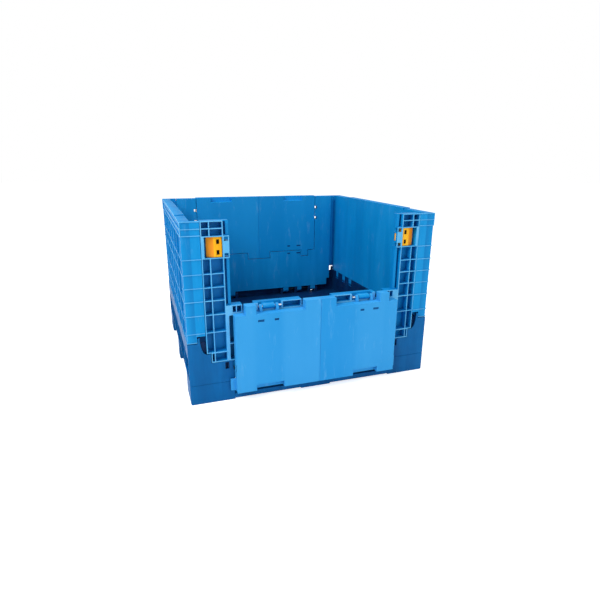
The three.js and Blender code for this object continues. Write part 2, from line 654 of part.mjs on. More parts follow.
/** A wall frame in its front place: two jambs and a sill, with the door hinges and wall teeth. */
function wallFrame() {
  const outline = symmetricOutline([
    [POST_STEP_LENGTH + FRAME_GAP, FRAME_BOTTOM],
    [POST_STEP_LENGTH + FRAME_GAP, POST_STEP_TOP + DOOR_GAP],
    [JAMB_START, POST_STEP_TOP + DOOR_GAP],
    [JAMB_START, WALL_TOP],
    [JAMB_END, WALL_TOP],
    [JAMB_END, BLOCK_TOP],
    [END_BLOCK[1], BLOCK_TOP],
    [END_BLOCK[1], SILL_TOP],
    [HINGE_BLOCK[0], SILL_TOP],
    [HINGE_BLOCK[0], BLOCK_TOP],
    [HINGE_BLOCK[1], BLOCK_TOP],
    [HINGE_BLOCK[1], SILL_TOP],
  ]);
  const slab = extrudeY(outline, yAt(0), yAt(WALL_THICKNESS));
  const hinges = SIDES.map(doorHinge);
  const tooth = hangingKnuckle(yAt(HINGE_INSET), FRONT_AXIS_Z, TOOTH_RADIUS, FRAME_BOTTOM + OVERRUN);
  const teeth = SIDES.flatMap((side) =>
    FRONT_TEETH.map(([e0, e1]) => extrudeX(tooth, xAt(side, e0), xAt(side, e1))));
  const stripFront = FLANGE_THICKNESS + KNUCKLE_GAP;
  const strips = bothEnds(
    [JAMB_START - TONGUE_STRIP_LENGTH, JAMB_START + OVERRUN],
    [stripFront, stripFront + TONGUE_STRIP_DEPTH],
    [SIDE_WALL_BOTTOM + FLANGE_STEP + TONGUE_STRIP_ENDS, WALL_TOP - TONGUE_STRIP_ENDS],
  );
  const hollowed = cut(slab, [
    ...SIDES.flatMap(jambCuts),
    ...sillCuts(),
    ...hinges.map((hinge) => hinge.pocket),
    ...dashSlots(DOOR_AXIS_Z),
  ]);
  return cut(join([hollowed, ...hinges.map((hinge) => hinge.lug), ...teeth, ...strips]), [
    ...SIDES.map((side) => frontRod(side, ROD_RADIUS + BORE_GAP, 0)),
    ...SIDES.map((side) => doorPin(side, PIN_RADIUS + BORE_GAP, OVERRUN)),
  ]);
}

/** A door in its closed place in the front wall. */
function door() {
  const outline = symmetricOutline([
    [HINGE_BLOCK[1] + DOOR_GAP, DOOR_BOTTOM],
    [HINGE_BLOCK[1] + DOOR_GAP, DOOR_NOTCH_TOP],
    [HINGE_BLOCK[0] - DOOR_GAP, DOOR_NOTCH_TOP],
    [HINGE_BLOCK[0] - DOOR_GAP, DOOR_BOTTOM],
    [END_BLOCK[1] + FRAME_GAP * 2, DOOR_BOTTOM],
    [END_BLOCK[1] + FRAME_GAP * 2, DOOR_NOTCH_TOP],
    [DOOR_START, DOOR_NOTCH_TOP],
    [DOOR_START, DOOR_TOP],
  ]);
  const slab = extrudeY(outline, yAt(0), yAt(WALL_THICKNESS));

  const edge = HALF_LENGTH - DOOR_START - RIB / 2;
  const columns = bays(evenLines(-edge, edge, DOOR_BAYS));
  const rows = bays([
    DOOR_NOTCH_TOP + RIB / 2,
    ...DOOR_RIB_DROPS.map((drop) => DOOR_TOP - drop).reverse(),
    DOOR_TOP - RIB / 2,
  ]);
  const gripFloor = WALL_THICKNESS - GRIP_DEPTH - WALL_SKIN;
  const floorAt = (z) => (z > DOOR_TOP - GRIP_HEIGHT ? gripFloor : WALL_THICKNESS - WALL_SKIN);
  const cells = columns.flatMap(([x0, x1]) => rows.map(([z0, z1]) =>
    block(x0, x1, yAt(-OVERRUN), yAt(floorAt(z1)), z0, z1)));

  const tabs = bothEnds(
    [DOOR_START - TAB_REACH, DOOR_START + OVERRUN],
    [0, TAB_THICKNESS],
    [WALL_TOP - TAB_HEIGHT, WALL_TOP],
  );
  const axisY = yAt(-DOOR_AXIS_OFFSET);
  const neckTop = DOOR_NOTCH_TOP + RIB;
  const arm = new THREE.Shape();
  arm.moveTo(axisY - ARM_RADIUS, DOOR_AXIS_Z);
  arm.absarc(axisY, DOOR_AXIS_Z, ARM_RADIUS, Math.PI, 2 * Math.PI, false);
  arm.lineTo(yAt(ARM_NECK), DOOR_AXIS_Z + ARM_RADIUS);
  arm.lineTo(yAt(ARM_NECK), neckTop);
  arm.lineTo(yAt(0), neckTop);
  arm.closePath();
  const arms = SIDES.flatMap((side) =>
    DOOR_ARMS.map(([e0, e1]) => extrudeX(arm, xAt(side, e0), xAt(side, e1))));

  const inner = [WALL_THICKNESS - GRIP_DEPTH, WALL_THICKNESS + OVERRUN];
  const strikeHalf = TONGUE_HEIGHT / 2 + TONGUE_PLAY * 2;
  return cut(join([cut(slab, cells), ...tabs, ...arms]), [
    ...bothEnds(GRIP_RECESS, inner, [DOOR_TOP - GRIP_HEIGHT, DOOR_TOP + OVERRUN]),
    ...dashSlots(DOOR_AXIS_Z + DASH_LIFT),
    ...bothEnds(
      [DOOR_START - OVERRUN, DOOR_START + STRIKE_DEPTH],
      [TONGUE_FRONT - TONGUE_PLAY * 2, LATCH_BACK + TONGUE_PLAY],
      [LATCH_MIDDLE - strikeHalf, LATCH_MIDDLE + strikeHalf],
    ),
    block(
      -SEAM_WIDTH / 2, SEAM_WIDTH / 2, yAt(WALL_THICKNESS - SEAM_DEPTH), yAt(WALL_THICKNESS + OVERRUN),
      DOOR_BOTTOM - OVERRUN, DOOR_TOP + OVERRUN,
    ),
    ...SIDES.map((side) => doorPin(side, PIN_RADIUS + BORE_GAP, OVERRUN)),
  ]);
}

/** A slide latch in its front place: a sloped grip with two finger slots and a flat tongue. */
function latch(side) {
  const x = (e) => xAt(side, e);
  const shape = new THREE.Shape();
  shape.moveTo(x(LATCH_START), yAt(LATCH_BACK));
  shape.lineTo(x(LATCH_START), yAt(LATCH_FRONT + GRIP_SLOPE_DEPTH));
  shape.lineTo(x(LATCH_START + LATCH_SLOPE), yAt(LATCH_FRONT));
  shape.lineTo(x(LATCH_END), yAt(LATCH_FRONT));
  shape.lineTo(x(LATCH_END), yAt(LATCH_BACK));
  shape.closePath();
  const geometry = extrusion(shape, LATCH_HEIGHT);
  geometry.translate(0, 0, LATCH_BOTTOM);
  const tongue = endBlock(
    side, [LATCH_END - OVERRUN, LATCH_END + TONGUE_LENGTH],
    [TONGUE_FRONT, TONGUE_FRONT + TONGUE_THICKNESS],
    [LATCH_MIDDLE - TONGUE_HEIGHT / 2, LATCH_MIDDLE + TONGUE_HEIGHT / 2],
  );
  const slotEnd = LATCH_END - FINGER_SLOT_INSET;
  const slots = [-OVERRUN, 1].map((way) => endBlock(
    side,
    [slotEnd - FINGER_SLOT[0] / 2, slotEnd + FINGER_SLOT[0] / 2],
    [-OVERRUN, LATCH_FRONT + FINGER_SLOT_DEPTH],
    [
      LATCH_MIDDLE + (way * FINGER_SLOT_PITCH - FINGER_SLOT[1]) / 2,
      LATCH_MIDDLE + (way * FINGER_SLOT_PITCH + FINGER_SLOT[1]) / 2,
    ],
  ));
  return cut(join([toSolid(geometry), tongue]), slots);
}

const SIDE_NAMES = { [LEFT]: 'left', [RIGHT]: 'right' };
const TURNED_NAMES = { [LEFT]: 'right', [RIGHT]: 'left' };

/** Everything in one folding wall. An open door is the closed one turned about its hinge pins. */
function foldingWall(name, doorOpen, endNames) {
  const wall = new THREE.Group();
  wall.add(toMesh(`${name}_wall_frame`, wallFrame(), WALL_PLASTIC));
  SIDES.forEach((side) => {
    const end = endNames[side];
    wall.add(toMesh(`${name}_latch_${end}`, latch(side), LATCH_PLASTIC));
    wall.add(toMesh(`${name}_door_pin_${end}`, doorPin(side, PIN_RADIUS, 0), STEEL));
    wall.add(toMesh(`${name}_hinge_rod_${end}`, frontRod(side, ROD_RADIUS, 0), STEEL));
  });
  const swing = new THREE.Group();
  const panel = toMesh(`${name}_door`, door(), DOOR_PLASTIC);
  swing.position.set(0, yAt(-DOOR_AXIS_OFFSET), DOOR_AXIS_Z);
  panel.position.copy(swing.position).negate();
  swing.rotation.x = doorOpen ? Math.PI : 0;
  swing.add(panel);
  wall.add(swing);
  return wall;
}

/** One side wall with its two hinge rods, named for where they lie once the side is placed. */
function standingSide(name, nearRod, farRod) {
  const side = new THREE.Group();
  side.add(toMesh(`${name}_side_wall`, sideWall(), WALL_PLASTIC));
  const rod = sideRod(ROD_RADIUS, 0);
  side.add(toMesh(`${name}_side_rod_${nearRod}`, rod, STEEL));
  side.add(toMesh(`${name}_side_rod_${farRod}`, mirroredInDepth(rod), STEEL));
  return side;
}

const container = new THREE.Group();
container.add(toMesh('base', base(), BASE_PLASTIC));
Object.keys(SKID_ROWS).forEach((row) => container.add(skid(row)));

container.add(foldingWall('front', true, SIDE_NAMES));
const rearWall = foldingWall('rear', false, TURNED_NAMES);
rearWall.rotation.z = Math.PI;
container.add(rearWall);

container.add(standingSide('left', 'front', 'rear'));
const rightSide = standingSide('right', 'rear', 'front');
rightSide.rotation.z = Math.PI;
container.add(rightSide);

export default container;
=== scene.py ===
"""Dresses the collapsible bulk container: moulded edges, plastics, steel, studio and camera."""

import logging
import math
from dataclasses import dataclass, field, replace
from enum import Enum
from typing import Iterable, Sequence

import bpy
from mathutils import Matrix, Vector


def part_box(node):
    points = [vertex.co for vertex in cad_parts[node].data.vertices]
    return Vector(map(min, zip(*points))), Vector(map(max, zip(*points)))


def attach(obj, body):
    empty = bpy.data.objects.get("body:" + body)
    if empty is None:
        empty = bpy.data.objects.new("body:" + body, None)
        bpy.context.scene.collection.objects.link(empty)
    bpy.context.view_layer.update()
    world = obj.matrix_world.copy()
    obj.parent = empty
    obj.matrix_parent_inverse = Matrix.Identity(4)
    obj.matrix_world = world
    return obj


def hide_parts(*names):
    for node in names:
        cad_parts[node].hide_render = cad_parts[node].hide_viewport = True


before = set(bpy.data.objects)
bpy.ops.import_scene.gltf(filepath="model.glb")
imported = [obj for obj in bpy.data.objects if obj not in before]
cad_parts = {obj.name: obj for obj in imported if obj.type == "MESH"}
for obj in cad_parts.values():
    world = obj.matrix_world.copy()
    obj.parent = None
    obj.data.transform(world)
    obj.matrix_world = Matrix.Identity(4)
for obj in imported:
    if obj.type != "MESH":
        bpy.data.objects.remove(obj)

LOG = logging.getLogger("container")

# Lengths are in metres, except where a name ends in mm.
MM = 0.001
WALL_THICKNESS = 0.044

Tree = bpy.types.NodeTree
Socket = bpy.types.NodeSocket
Piece = bpy.types.Object
Plane = tuple[Vector, float]
Span = tuple[float, float]
Colour = tuple[float, float, float, float]


def linear(hex_colour: str) -> Colour:
    """Turn an sRGB hex colour into the linear colour that a socket takes.

    Args:
        hex_colour: Six hex digits with a leading hash.

    Returns:
        Red, green, blue and full opacity.
    """
    def channel(value: float) -> float:
        """Turn one sRGB channel to linear.

        Args:
            value: The channel from 0 to 1.

        Returns:
            The linear value.
        """
        return value / 12.92 if value <= 0.04045 else ((value + 0.055) / 1.055) ** 2.4

    digits = hex_colour.lstrip("#")
    red, green, blue = (int(digits[i:i + 2], 16) / 255 for i in (0, 2, 4))
    return channel(red), channel(green), channel(blue), 1.0


def add_node(tree: Tree, kind: str, settings: dict | None = None,
             links: dict | None = None) -> bpy.types.Node:
    """Add a shader node with its settings and links.

    Args:
        tree: The material's node tree.
        kind: The node's type name, without the ShaderNode in front.
        settings: Attributes, or socket values where the key is a socket's name or number.
        links: Output sockets that feed this node, by input name or number.

    Returns:
        The new node.
    """
    node = tree.nodes.new("ShaderNode" + kind)
    for key, value in (settings or {}).items():
        if isinstance(key, str) and hasattr(node, key):
            setattr(node, key, value)
        else:
            node.inputs[key].default_value = value
    for key, source in (links or {}).items():
        tree.links.new(source, node.inputs[key])
    return node


def start_material(name: str) -> tuple[bpy.types.Material, Tree]:
    """Start a material with no nodes.

    Args:
        name: The material's name.

    Returns:
        The material and its empty node tree.
    """
    material = bpy.data.materials.new(name)
    material.use_nodes = True
    material.node_tree.nodes.clear()
    return material, material.node_tree


def set_ramp(node: bpy.types.Node, stops: Sequence[tuple[float, Colour]]) -> None:
    """Give a colour ramp its stops.

    Args:
        node: The colour ramp node.
        stops: Places from 0 to 1, each with its colour.
    """
    ramp = node.color_ramp
    while len(ramp.elements) < len(stops):
        ramp.elements.new(0.5)
    for element, (place, colour) in zip(ramp.elements, stops):
        element.position = place
        element.color = colour


def grey(value: float) -> Colour:
    """Return a grey colour.

    Args:
        value: Its linear value from 0 to 1.

    Returns:
        The colour, with full opacity.
    """
    return value, value, value, 1.0


def calculate(tree: Tree, operation: str, first: Socket, second: Socket | float) -> Socket:
    """Return the outcome of one Math node.

    Args:
        tree: The material's node tree.
        operation: The Math node's operation.
        first: The first value.
        second: The second value, a socket or a number.

    Returns:
        The value output.
    """
    if isinstance(second, (int, float)):
        return add_node(tree, "Math", {"operation": operation, 1: second}, {0: first}).outputs[0]
    return add_node(tree, "Math", {"operation": operation}, {0: first, 1: second}).outputs[0]


def ranged(tree: Tree, value: Socket, source: Span, target: Span) -> Socket:
    """Map one range of a value to another, and hold it at the ends.

    Args:
        tree: The material's node tree.
        value: The value.
        source: The range that it is taken from.
        target: The range that it is mapped to.

    Returns:
        The mapped output.
    """
    settings = {
        "From Min": source[0], "From Max": source[1], "To Min": target[0], "To Max": target[1],
    }
    return add_node(tree, "MapRange", settings, {"Value": value}).outputs[0]


def tinted(tree: Tree, share: Socket, colour: Socket, tint: str) -> Socket:
    """Mix a tint over a colour.

    Args:
        tree: The material's node tree.
        share: How strongly the tint shows.
        colour: The colour below it.
        tint: The tint's sRGB hex colour.

    Returns:
        The mixed colour.
    """
    settings = {"data_type": "RGBA", 7: linear(tint)}
    return add_node(tree, "Mix", settings, {0: share, 6: colour}).outputs[2]


def distances(tree: Tree, place: Socket) -> tuple[Socket, Socket, Socket]:
    """Return how far a point lies from the container's middle along each axis.

    Args:
        tree: The material's node tree.
        place: Object coordinates.

    Returns:
        The three distances, without their signs.
    """
    absolute = add_node(tree, "VectorMath", {"operation": "ABSOLUTE"}, {0: place})
    axes = add_node(tree, "SeparateXYZ", links={0: absolute.outputs[0]})
    return axes.outputs[0], axes.outputs[1], axes.outputs[2]


def depth_below(tree: Tree, distance: Socket, half: float) -> Socket:
    """Return how far in from an outer face a point lies.

    Args:
        tree: The material's node tree.
        distance: The point's distance from the container's middle.
        half: The outer face's distance from the container's middle, in metres.

    Returns:
        The depth in metres.
    """
    settings = {"operation": "MULTIPLY_ADD", 1: -1.0, 2: half}
    return add_node(tree, "Math", settings, {0: distance}).outputs[0]


@dataclass(frozen=True)
class Noise:
    """A cloudy pattern: the size of its blotches, and how many and how strong its finer layers."""

    size_mm: float
    detail: float
    roughness: float = 0.5

    def draw(self, tree: Tree, place: Socket) -> Socket:
        """Add the pattern to a material.

        Args:
            tree: The material's node tree.
            place: The coordinates.

        Returns:
            The pattern's strength.
        """
        settings = {
            "Scale": 1 / (self.size_mm * MM), "Detail": self.detail, "Roughness": self.roughness,
        }
        return add_node(tree, "TexNoise", settings, {"Vector": place}).outputs["Fac"]


@dataclass(frozen=True)
class MouldedPolyethylene:
    """Structural foam polyethylene from a mould: satin, with streaks, scuffs and a fine grain."""

    name: str
    colour: str
    streak_colour: str
    shade_colour: str
    roughness: float = 0.42
    ior: float = 1.51
    specular: float = 0.12
    streaks: Noise = Noise(120.0, 6.0, 0.62)
    streak_stretch: tuple[float, float, float] = (1.0, 1.0, 0.12)
    streak_stops: tuple[float, float, float] = (0.32, 0.50, 0.70)
    clouds: Noise = Noise(90.0, 3.0)
    cloud_range: Span = (0.4, 0.75)
    cloud_share: float = 0.3
    scuffs: Noise = Noise(34.0, 8.0, 0.7)
    scuff_turn: tuple[float, float, float] = (0.4, 0.3, 0.5)
    scuff_stretch: tuple[float, float, float] = (1.0, 1.0, 0.22)
    scuff_range: Span = (0.58, 0.82)
    scuff_colour: str = "#9CCBF0"
    scuff_share: float = 0.25
    wear: Noise = Noise(68.0, 5.0)
    wear_range: Span = (0.3, 0.7)
    wear_play: Span = (-0.07, 0.13)
    grain: Noise = Noise(3.0, 2.0)
    grain_strength: float = 0.12
    grain_relief_mm: float = 0.2
    waves: Noise = Noise(90.0, 1.0)
    wave_strength: float = 0.2
    wave_relief_mm: float = 1.2

    def make(self) -> bpy.types.Material:
        """Build the material.

        Returns:
            The finished material.
        """
        material, tree = start_material(self.name)
        place = add_node(tree, "TexCoord").outputs["Object"]
        colour = self._scuffed(tree, place, self._moulded(tree, place, self._streaked(tree, place)))
        shader = add_node(
            tree, "BsdfPrincipled",
            {"IOR": self.ior, "Specular IOR Level": self.specular},
            {"Base Color": colour, "Roughness": self._roughness(tree, place),
             "Normal": self._surface(tree, place)},
        )
        add_node(tree, "OutputMaterial", links={"Surface": shader.outputs["BSDF"]})
        material.diffuse_color = linear(self.colour)
        return material

    def _streaked(self, tree: Tree, place: Socket) -> Socket:
        """Mix upright flow streaks and soft clouds into the base colour.

        Args:
            tree: The material's node tree.
            place: Object coordinates.

        Returns:
            The colour output.
        """
        stretched = add_node(tree, "Mapping", {"Scale": self.streak_stretch}, {"Vector": place})
        streaks = self.streaks.draw(tree, stretched.outputs[0])
        ramp = add_node(tree, "ValToRGB", links={0: streaks})
        colours = (self.shade_colour, self.colour, self.streak_colour)
        set_ramp(ramp, list(zip(self.streak_stops, map(linear, colours))))
        clouds = self.clouds.draw(tree, place)
        share = ranged(tree, clouds, self.cloud_range, (0.0, self.cloud_share))
        return tinted(tree, share, ramp.outputs[0], self.shade_colour)

    def _moulded(self, tree: Tree, place: Socket, colour: Socket) -> Socket:
        """Lay the marks of the piece's own shape over the colour, here none.

        Args:
            tree: The material's node tree.
            place: Object coordinates.
            colour: The colour below them.

        Returns:
            The colour output.
        """
        return colour

    def _scuffed(self, tree: Tree, place: Socket, colour: Socket) -> Socket:
        """Lay thin pale rubbed marks over the colour.

        Args:
            tree: The material's node tree.
            place: Object coordinates.
            colour: The colour below them.

        Returns:
            The colour output.
        """
        turned = add_node(
            tree, "Mapping",
            {"Rotation": self.scuff_turn, "Scale": self.scuff_stretch}, {"Vector": place},
        )
        marks = self.scuffs.draw(tree, turned.outputs[0])
        share = ranged(tree, marks, self.scuff_range, (0.0, self.scuff_share))
        return tinted(tree, share, colour, self.scuff_colour)

    def _roughness(self, tree: Tree, place: Socket) -> Socket:
        """Vary the roughness where hands and loads have polished or dulled the skin.

        Args:
            tree: The material's node tree.
            place: Object coordinates.

        Returns:
            The roughness output.
        """
        smoothest, roughest = (self.roughness + play for play in self.wear_play)
        return ranged(tree, self.wear.draw(tree, place), self.wear_range, (smoothest, roughest))

    def _surface(self, tree: Tree, place: Socket) -> Socket:
        """Give the skin its fine mould grain and the slight waviness of thick mouldings.

        Args:
            tree: The material's node tree.
            place: Object coordinates.

        Returns:
            The normal output.
        """
        fine = add_node(
            tree, "Bump",
            {"Strength": self.grain_strength, "Distance": self.grain_relief_mm * MM},
            {"Height": self.grain.draw(tree, place)},
        )
        broad = add_node(
            tree, "Bump",
            {"Strength": self.wave_strength, "Distance": self.wave_relief_mm * MM},
            {"Height": self.waves.draw(tree, place), "Normal": fine.outputs["Normal"]},
        )
        return broad.outputs["Normal"]


@dataclass(frozen=True)
class RibbedPolyethylene(MouldedPolyethylene):
    """The same plastic on open ribs: painted highlight and rubbed wear on the outside, and painted
    shade, a deeper blue, in the cells.
    """

    half_length: float = 0.61
    half_depth: float = 0.57
    # Painted highlight and rubbed wear on the outermost rib faces, broken up in patches.
    highlight_and_wear_colour: str = "#7CCBF4"
    highlight_and_wear_share: float = 0.62
    highlight_and_wear_mm: float = 0.9
    highlight_and_wear_patches: Noise = Noise(90.0, 4.0)
    patch_range: Span = (0.35, 0.6)
    patch_share: Span = (0.6, 1.0)
    # Painted shade in the cells, deepening towards their floors.
    cell_shade_colour: str = "#0474B8"
    cell_shade_share: float = 0.65
    cell_shade_mm: Span = (5.0, 34.0)
    skin_mm: float = 41.5

    def _moulded(self, tree: Tree, place: Socket, colour: Socket) -> Socket:
        """Paint shade that deepens the colour towards the cell floors, and paint highlight and
        rubbed wear that pale the outermost rib edges.

        Args:
            tree: The material's node tree.
            place: Object coordinates.
            colour: The colour below them.

        Returns:
            The colour output.
        """
        along, across, _ = distances(tree, place)
        depths = (
            depth_below(tree, along, self.half_length),
            depth_below(tree, across, self.half_depth),
        )
        # Painted shade, deeper towards the cell floors.
        deep = calculate(tree, "MAXIMUM", *(self._shade_in_cell(tree, depth) for depth in depths))
        # Painted highlight and rubbed wear on the outermost rib faces.
        rubbed = calculate(tree, "MAXIMUM", *(self._outermost(tree, depth) for depth in depths))
        patches = self.highlight_and_wear_patches.draw(tree, place)
        patchiness = ranged(tree, patches, self.patch_range, self.patch_share)
        colour = tinted(tree, deep, colour, self.cell_shade_colour)
        share = calculate(tree, "MULTIPLY", rubbed, patchiness)
        return tinted(tree, share, colour, self.highlight_and_wear_colour)

    def _shade_in_cell(self, tree: Tree, depth: Socket) -> Socket:
        """Return the share of painted shade for how deep in a cell a point lies, and nothing on the
        inner skin.

        Args:
            tree: The material's node tree.
            depth: The distance in from the outer face, in metres.

        Returns:
            The share of the painted cell shade.
        """
        near, far = (limit * MM for limit in self.cell_shade_mm)
        share = ranged(tree, depth, (near, far), (0.0, self.cell_shade_share))
        inside = calculate(tree, "LESS_THAN", depth, self.skin_mm * MM)
        return calculate(tree, "MULTIPLY", share, inside)

    def _outermost(self, tree: Tree, depth: Socket) -> Socket:
        """Return the share of painted highlight and rubbed wear, on the outer face alone.

        Args:
            tree: The material's node tree.
            depth: The distance in from the outer face, in metres.

        Returns:
            The share of the painted highlight and rubbed wear.
        """
        width = self.highlight_and_wear_mm * MM
        near = calculate(tree, "LESS_THAN", depth, width)
        outside = calculate(tree, "GREATER_THAN", depth, -width)
        share = calculate(tree, "MULTIPLY", near, outside)
        return calculate(tree, "MULTIPLY", share, self.highlight_and_wear_share)


@dataclass(frozen=True)
class TrayPolyethylene(MouldedPolyethylene):
    """The same plastic on the base, with painted shade: a dark navy inside the tray."""

    tray_half_length: float = 0.5
    tray_half_depth: float = 0.5
    tray_floor: float = 0.12
    # Painted shade: dark navy inside the tray, broken up in patches.
    tray_shade_colour: str = "#04244F"
    tray_shade_patches: Noise = Noise(90.0, 5.0)
    tray_shade_range: Span = (0.3, 0.7)
    tray_shade_share: Span = (0.82, 1.0)

    def _moulded(self, tree: Tree, place: Socket, colour: Socket) -> Socket:
        """Paint shade, a dark navy, over what lies inside the rims and above the underside.

        Args:
            tree: The material's node tree.
            place: Object coordinates.
            colour: The colour below the painted shade.

        Returns:
            The colour output.
        """
        along, across, above = distances(tree, place)
        inside = calculate(
            tree, "MULTIPLY",
            calculate(tree, "LESS_THAN", along, self.tray_half_length),
            calculate(tree, "LESS_THAN", across, self.tray_half_depth),
        )
        high = calculate(tree, "GREATER_THAN", above, self.tray_floor)
        tray_shade_patches = ranged(tree, self.tray_shade_patches.draw(tree, place), self.tray_shade_range, self.tray_shade_share)
        share = calculate(tree, "MULTIPLY", calculate(tree, "MULTIPLY", inside, high), tray_shade_patches)
        return tinted(tree, share, colour, self.tray_shade_colour)


@dataclass(frozen=True)
class BandedPolyethylene(MouldedPolyethylene):
    """The same plastic on the door skins, with upright bands of lighter and darker tint across the
    width.
    """

    half_width: float = 0.4
    bands: tuple[Span, ...] = (
        (0.0, 0.8), (0.11, 0.8), (0.14, 0.45), (0.27, 0.4), (0.30, 0.75), (0.495, 0.9),
        (0.505, 0.05), (0.70, 0.15), (0.73, 0.6), (0.87, 0.85), (0.90, 0.6), (1.0, 0.85),
    )
    band_share: float = 0.7

    def _moulded(self, tree: Tree, place: Socket, colour: Socket) -> Socket:
        """Lay the bands over the streaks, with sharp steps between them.

        Args:
            tree: The material's node tree.
            place: Object coordinates.
            colour: The colour below them.

        Returns:
            The colour output.
        """
        axes = add_node(tree, "SeparateXYZ", links={0: place})
        across = ranged(tree, axes.outputs[0], (-self.half_width, self.half_width), (0.0, 1.0))
        ramp = add_node(tree, "ValToRGB", links={0: across})
        set_ramp(ramp, [(where, grey(share)) for where, share in self.bands])
        tints = add_node(
            tree, "Mix",
            {"data_type": "RGBA", 6: linear(self.shade_colour), 7: linear(self.streak_colour)},
            {0: ramp.outputs[0]},
        )
        mix = add_node(
            tree, "Mix", {"data_type": "RGBA", 0: self.band_share},
            {6: colour, 7: tints.outputs[2]},
        )
        return mix.outputs[2]


@dataclass(frozen=True)
class DrawnSteelRod:
    """Cold drawn steel: bright, with faint draw lines along the rod."""

    name: str = "drawn_steel_rod"
    colour: str = "#C9CDD2"
    roughness: float = 0.28
    lines: Noise = Noise(1.5, 2.0)
    line_stretch: tuple[float, float, float] = (0.02, 1.0, 1.0)
    line_range: Span = (0.3, 0.7)
    line_play: Span = (-0.06, 0.12)

    def make(self) -> bpy.types.Material:
        """Build the material.

        Returns:
            The finished material.
        """
        material, tree = start_material(self.name)
        place = add_node(tree, "TexCoord").outputs["Object"]
        along = add_node(tree, "Mapping", {"Scale": self.line_stretch}, {"Vector": place})
        lines = self.lines.draw(tree, along.outputs[0])
        smoothest, roughest = (self.roughness + play for play in self.line_play)
        rough = ranged(tree, lines, self.line_range, (smoothest, roughest))
        shader = add_node(
            tree, "BsdfPrincipled", {"Base Color": linear(self.colour), "Metallic": 1.0},
            {"Roughness": rough},
        )
        add_node(tree, "OutputMaterial", links={"Surface": shader.outputs["BSDF"]})
        return material


class Edge(Enum):
    """How far the mould rounds the edges of a piece, in millimetres.

    SLIDING is for the latches and for the frames they slide in: it rounds outer edges only.
    """

    BROAD = 2.2
    RIBBED = 1.2
    SLIDING = 0.9
    FINE = 0.4


@dataclass(frozen=True)
class Box:
    """A block between two corners, in metres."""

    low: Vector
    high: Vector

    @property
    def centre(self) -> Vector:
        """The block's middle."""
        return (self.low + self.high) / 2

    @property
    def size(self) -> Vector:
        """The block's three sides."""
        return self.high - self.low


